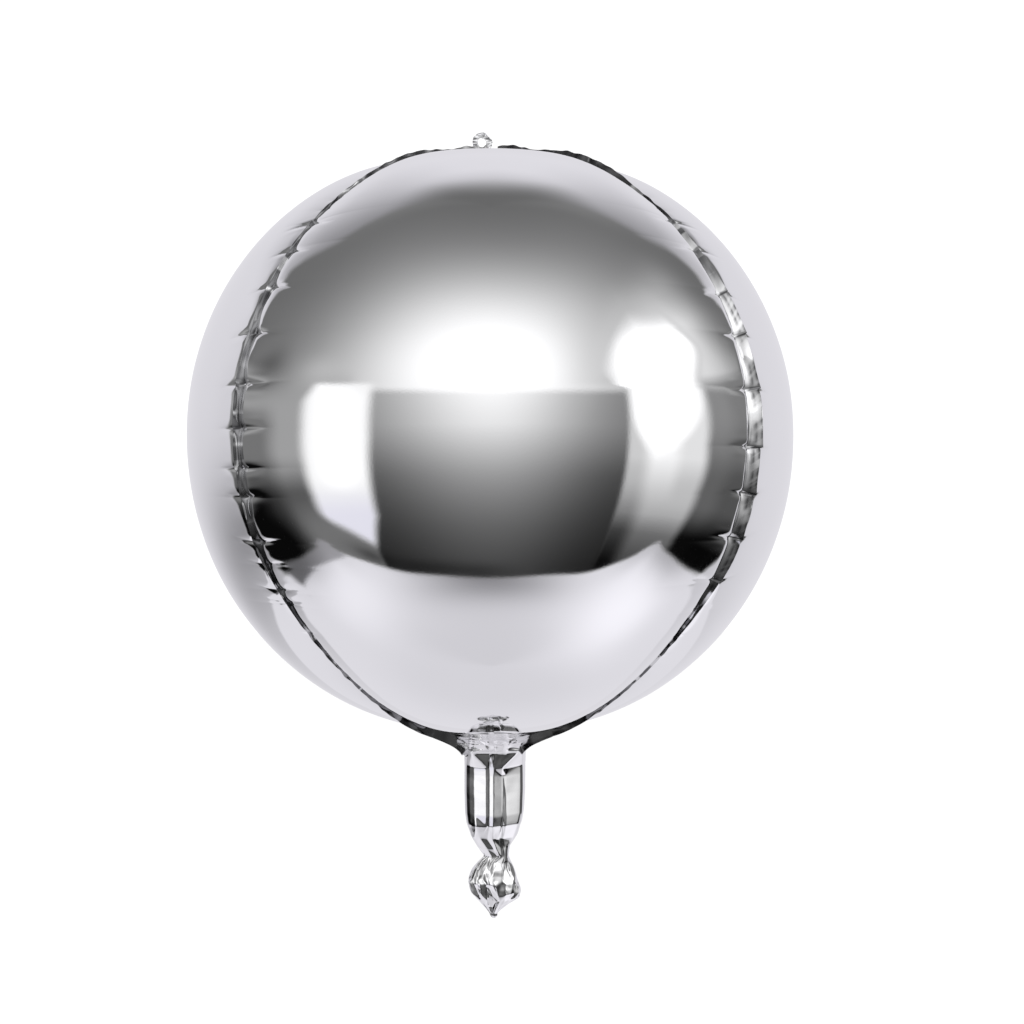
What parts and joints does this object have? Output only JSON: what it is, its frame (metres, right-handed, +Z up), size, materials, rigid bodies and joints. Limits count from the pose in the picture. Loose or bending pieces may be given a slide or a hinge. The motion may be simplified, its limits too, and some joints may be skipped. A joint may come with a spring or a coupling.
{
  "type": "sphere foil balloon",
  "caption": "Inflated sphere balloon of curved mirror foil panels with puckered seal flanges, a punched hang tab on top and a twisted filling neck below.",
  "frame": {"origin": "centre of the ball, where the buoyancy acts and where air holds it up", "axes": "+Z up through the crown and the hang tab, -Y out through the front panel, +X to the right seen from the front"},
  "size_m": [0.38, 0.38, 0.512],
  "materials": {
    "panel_foil": "silver metallised film, mirror bright, drawn smooth by the pressure",
    "seam_foil": "silver metallised film, heat-sealed flange, puckered and creased",
    "gathered_foil": "silver metallised film, gathered and crumpled into facets"
  },
  "bodies": {
    "root": {"front_panel": "panel_foil", "right_panel": "panel_foil", "back_panel": "panel_foil", "left_panel": "panel_foil", "seam_front_right": "seam_foil", "seam_back_right": "seam_foil", "seam_back_left": "seam_foil", "seam_front_left": "seam_foil", "crown_gather": "gathered_foil", "hang_tab": "gathered_foil", "neck_collar": "gathered_foil", "filling_neck": "gathered_foil", "neck_twist": "gathered_foil", "tail_end": "gathered_foil"}
  },
  "joints": []
}
